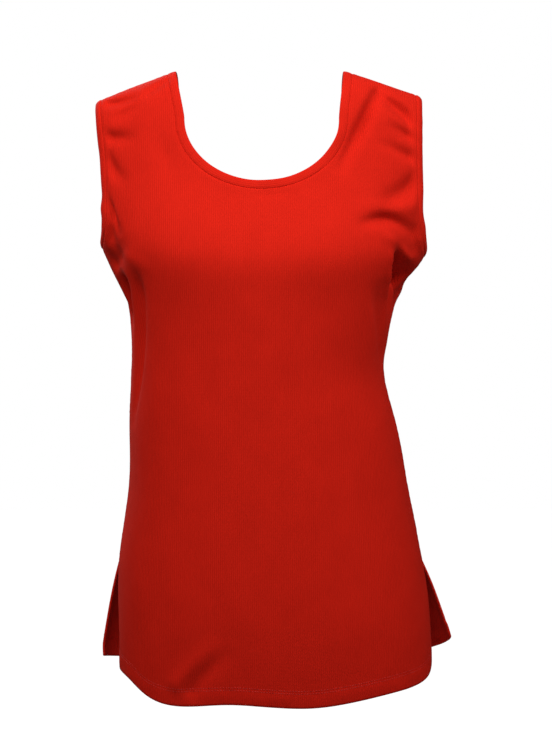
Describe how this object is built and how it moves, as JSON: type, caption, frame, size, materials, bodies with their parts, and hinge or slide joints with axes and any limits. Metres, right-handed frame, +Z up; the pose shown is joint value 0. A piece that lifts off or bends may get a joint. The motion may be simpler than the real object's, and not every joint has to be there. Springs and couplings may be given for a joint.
{
  "type": "sleeveless knit top",
  "caption": "Women's sleeveless scoop-neck top in fine rib jersey, shaped at bust and waist, flared to a curved hem with side vents, filled out and hollow.",
  "frame": {"origin": "midway between the two high shoulder points, where the wearer's shoulders carry the garment", "axes": "+Z up, the front of the garment faces -Y, +X is to the viewer's right when looking at the front"},
  "size_m": [0.3744, 0.248, 0.645],
  "materials": {
    "front_panel_jersey": "matt fine rib jersey, strong red, ribs running down the cloth",
    "back_panel_jersey": "matt fine rib jersey, strong red, ribs running down the cloth",
    "neck_band_jersey": "the same jersey folded double along the neckline",
    "armhole_band_left_jersey": "the same jersey folded double round the armhole",
    "armhole_band_right_jersey": "the same jersey folded double round the armhole"
  },
  "bodies": {
    "root": {"front_panel": "front_panel_jersey", "back_panel": "back_panel_jersey", "neck_band": "neck_band_jersey", "armhole_band_left": "armhole_band_left_jersey", "armhole_band_right": "armhole_band_right_jersey"}
  },
  "joints": []
}
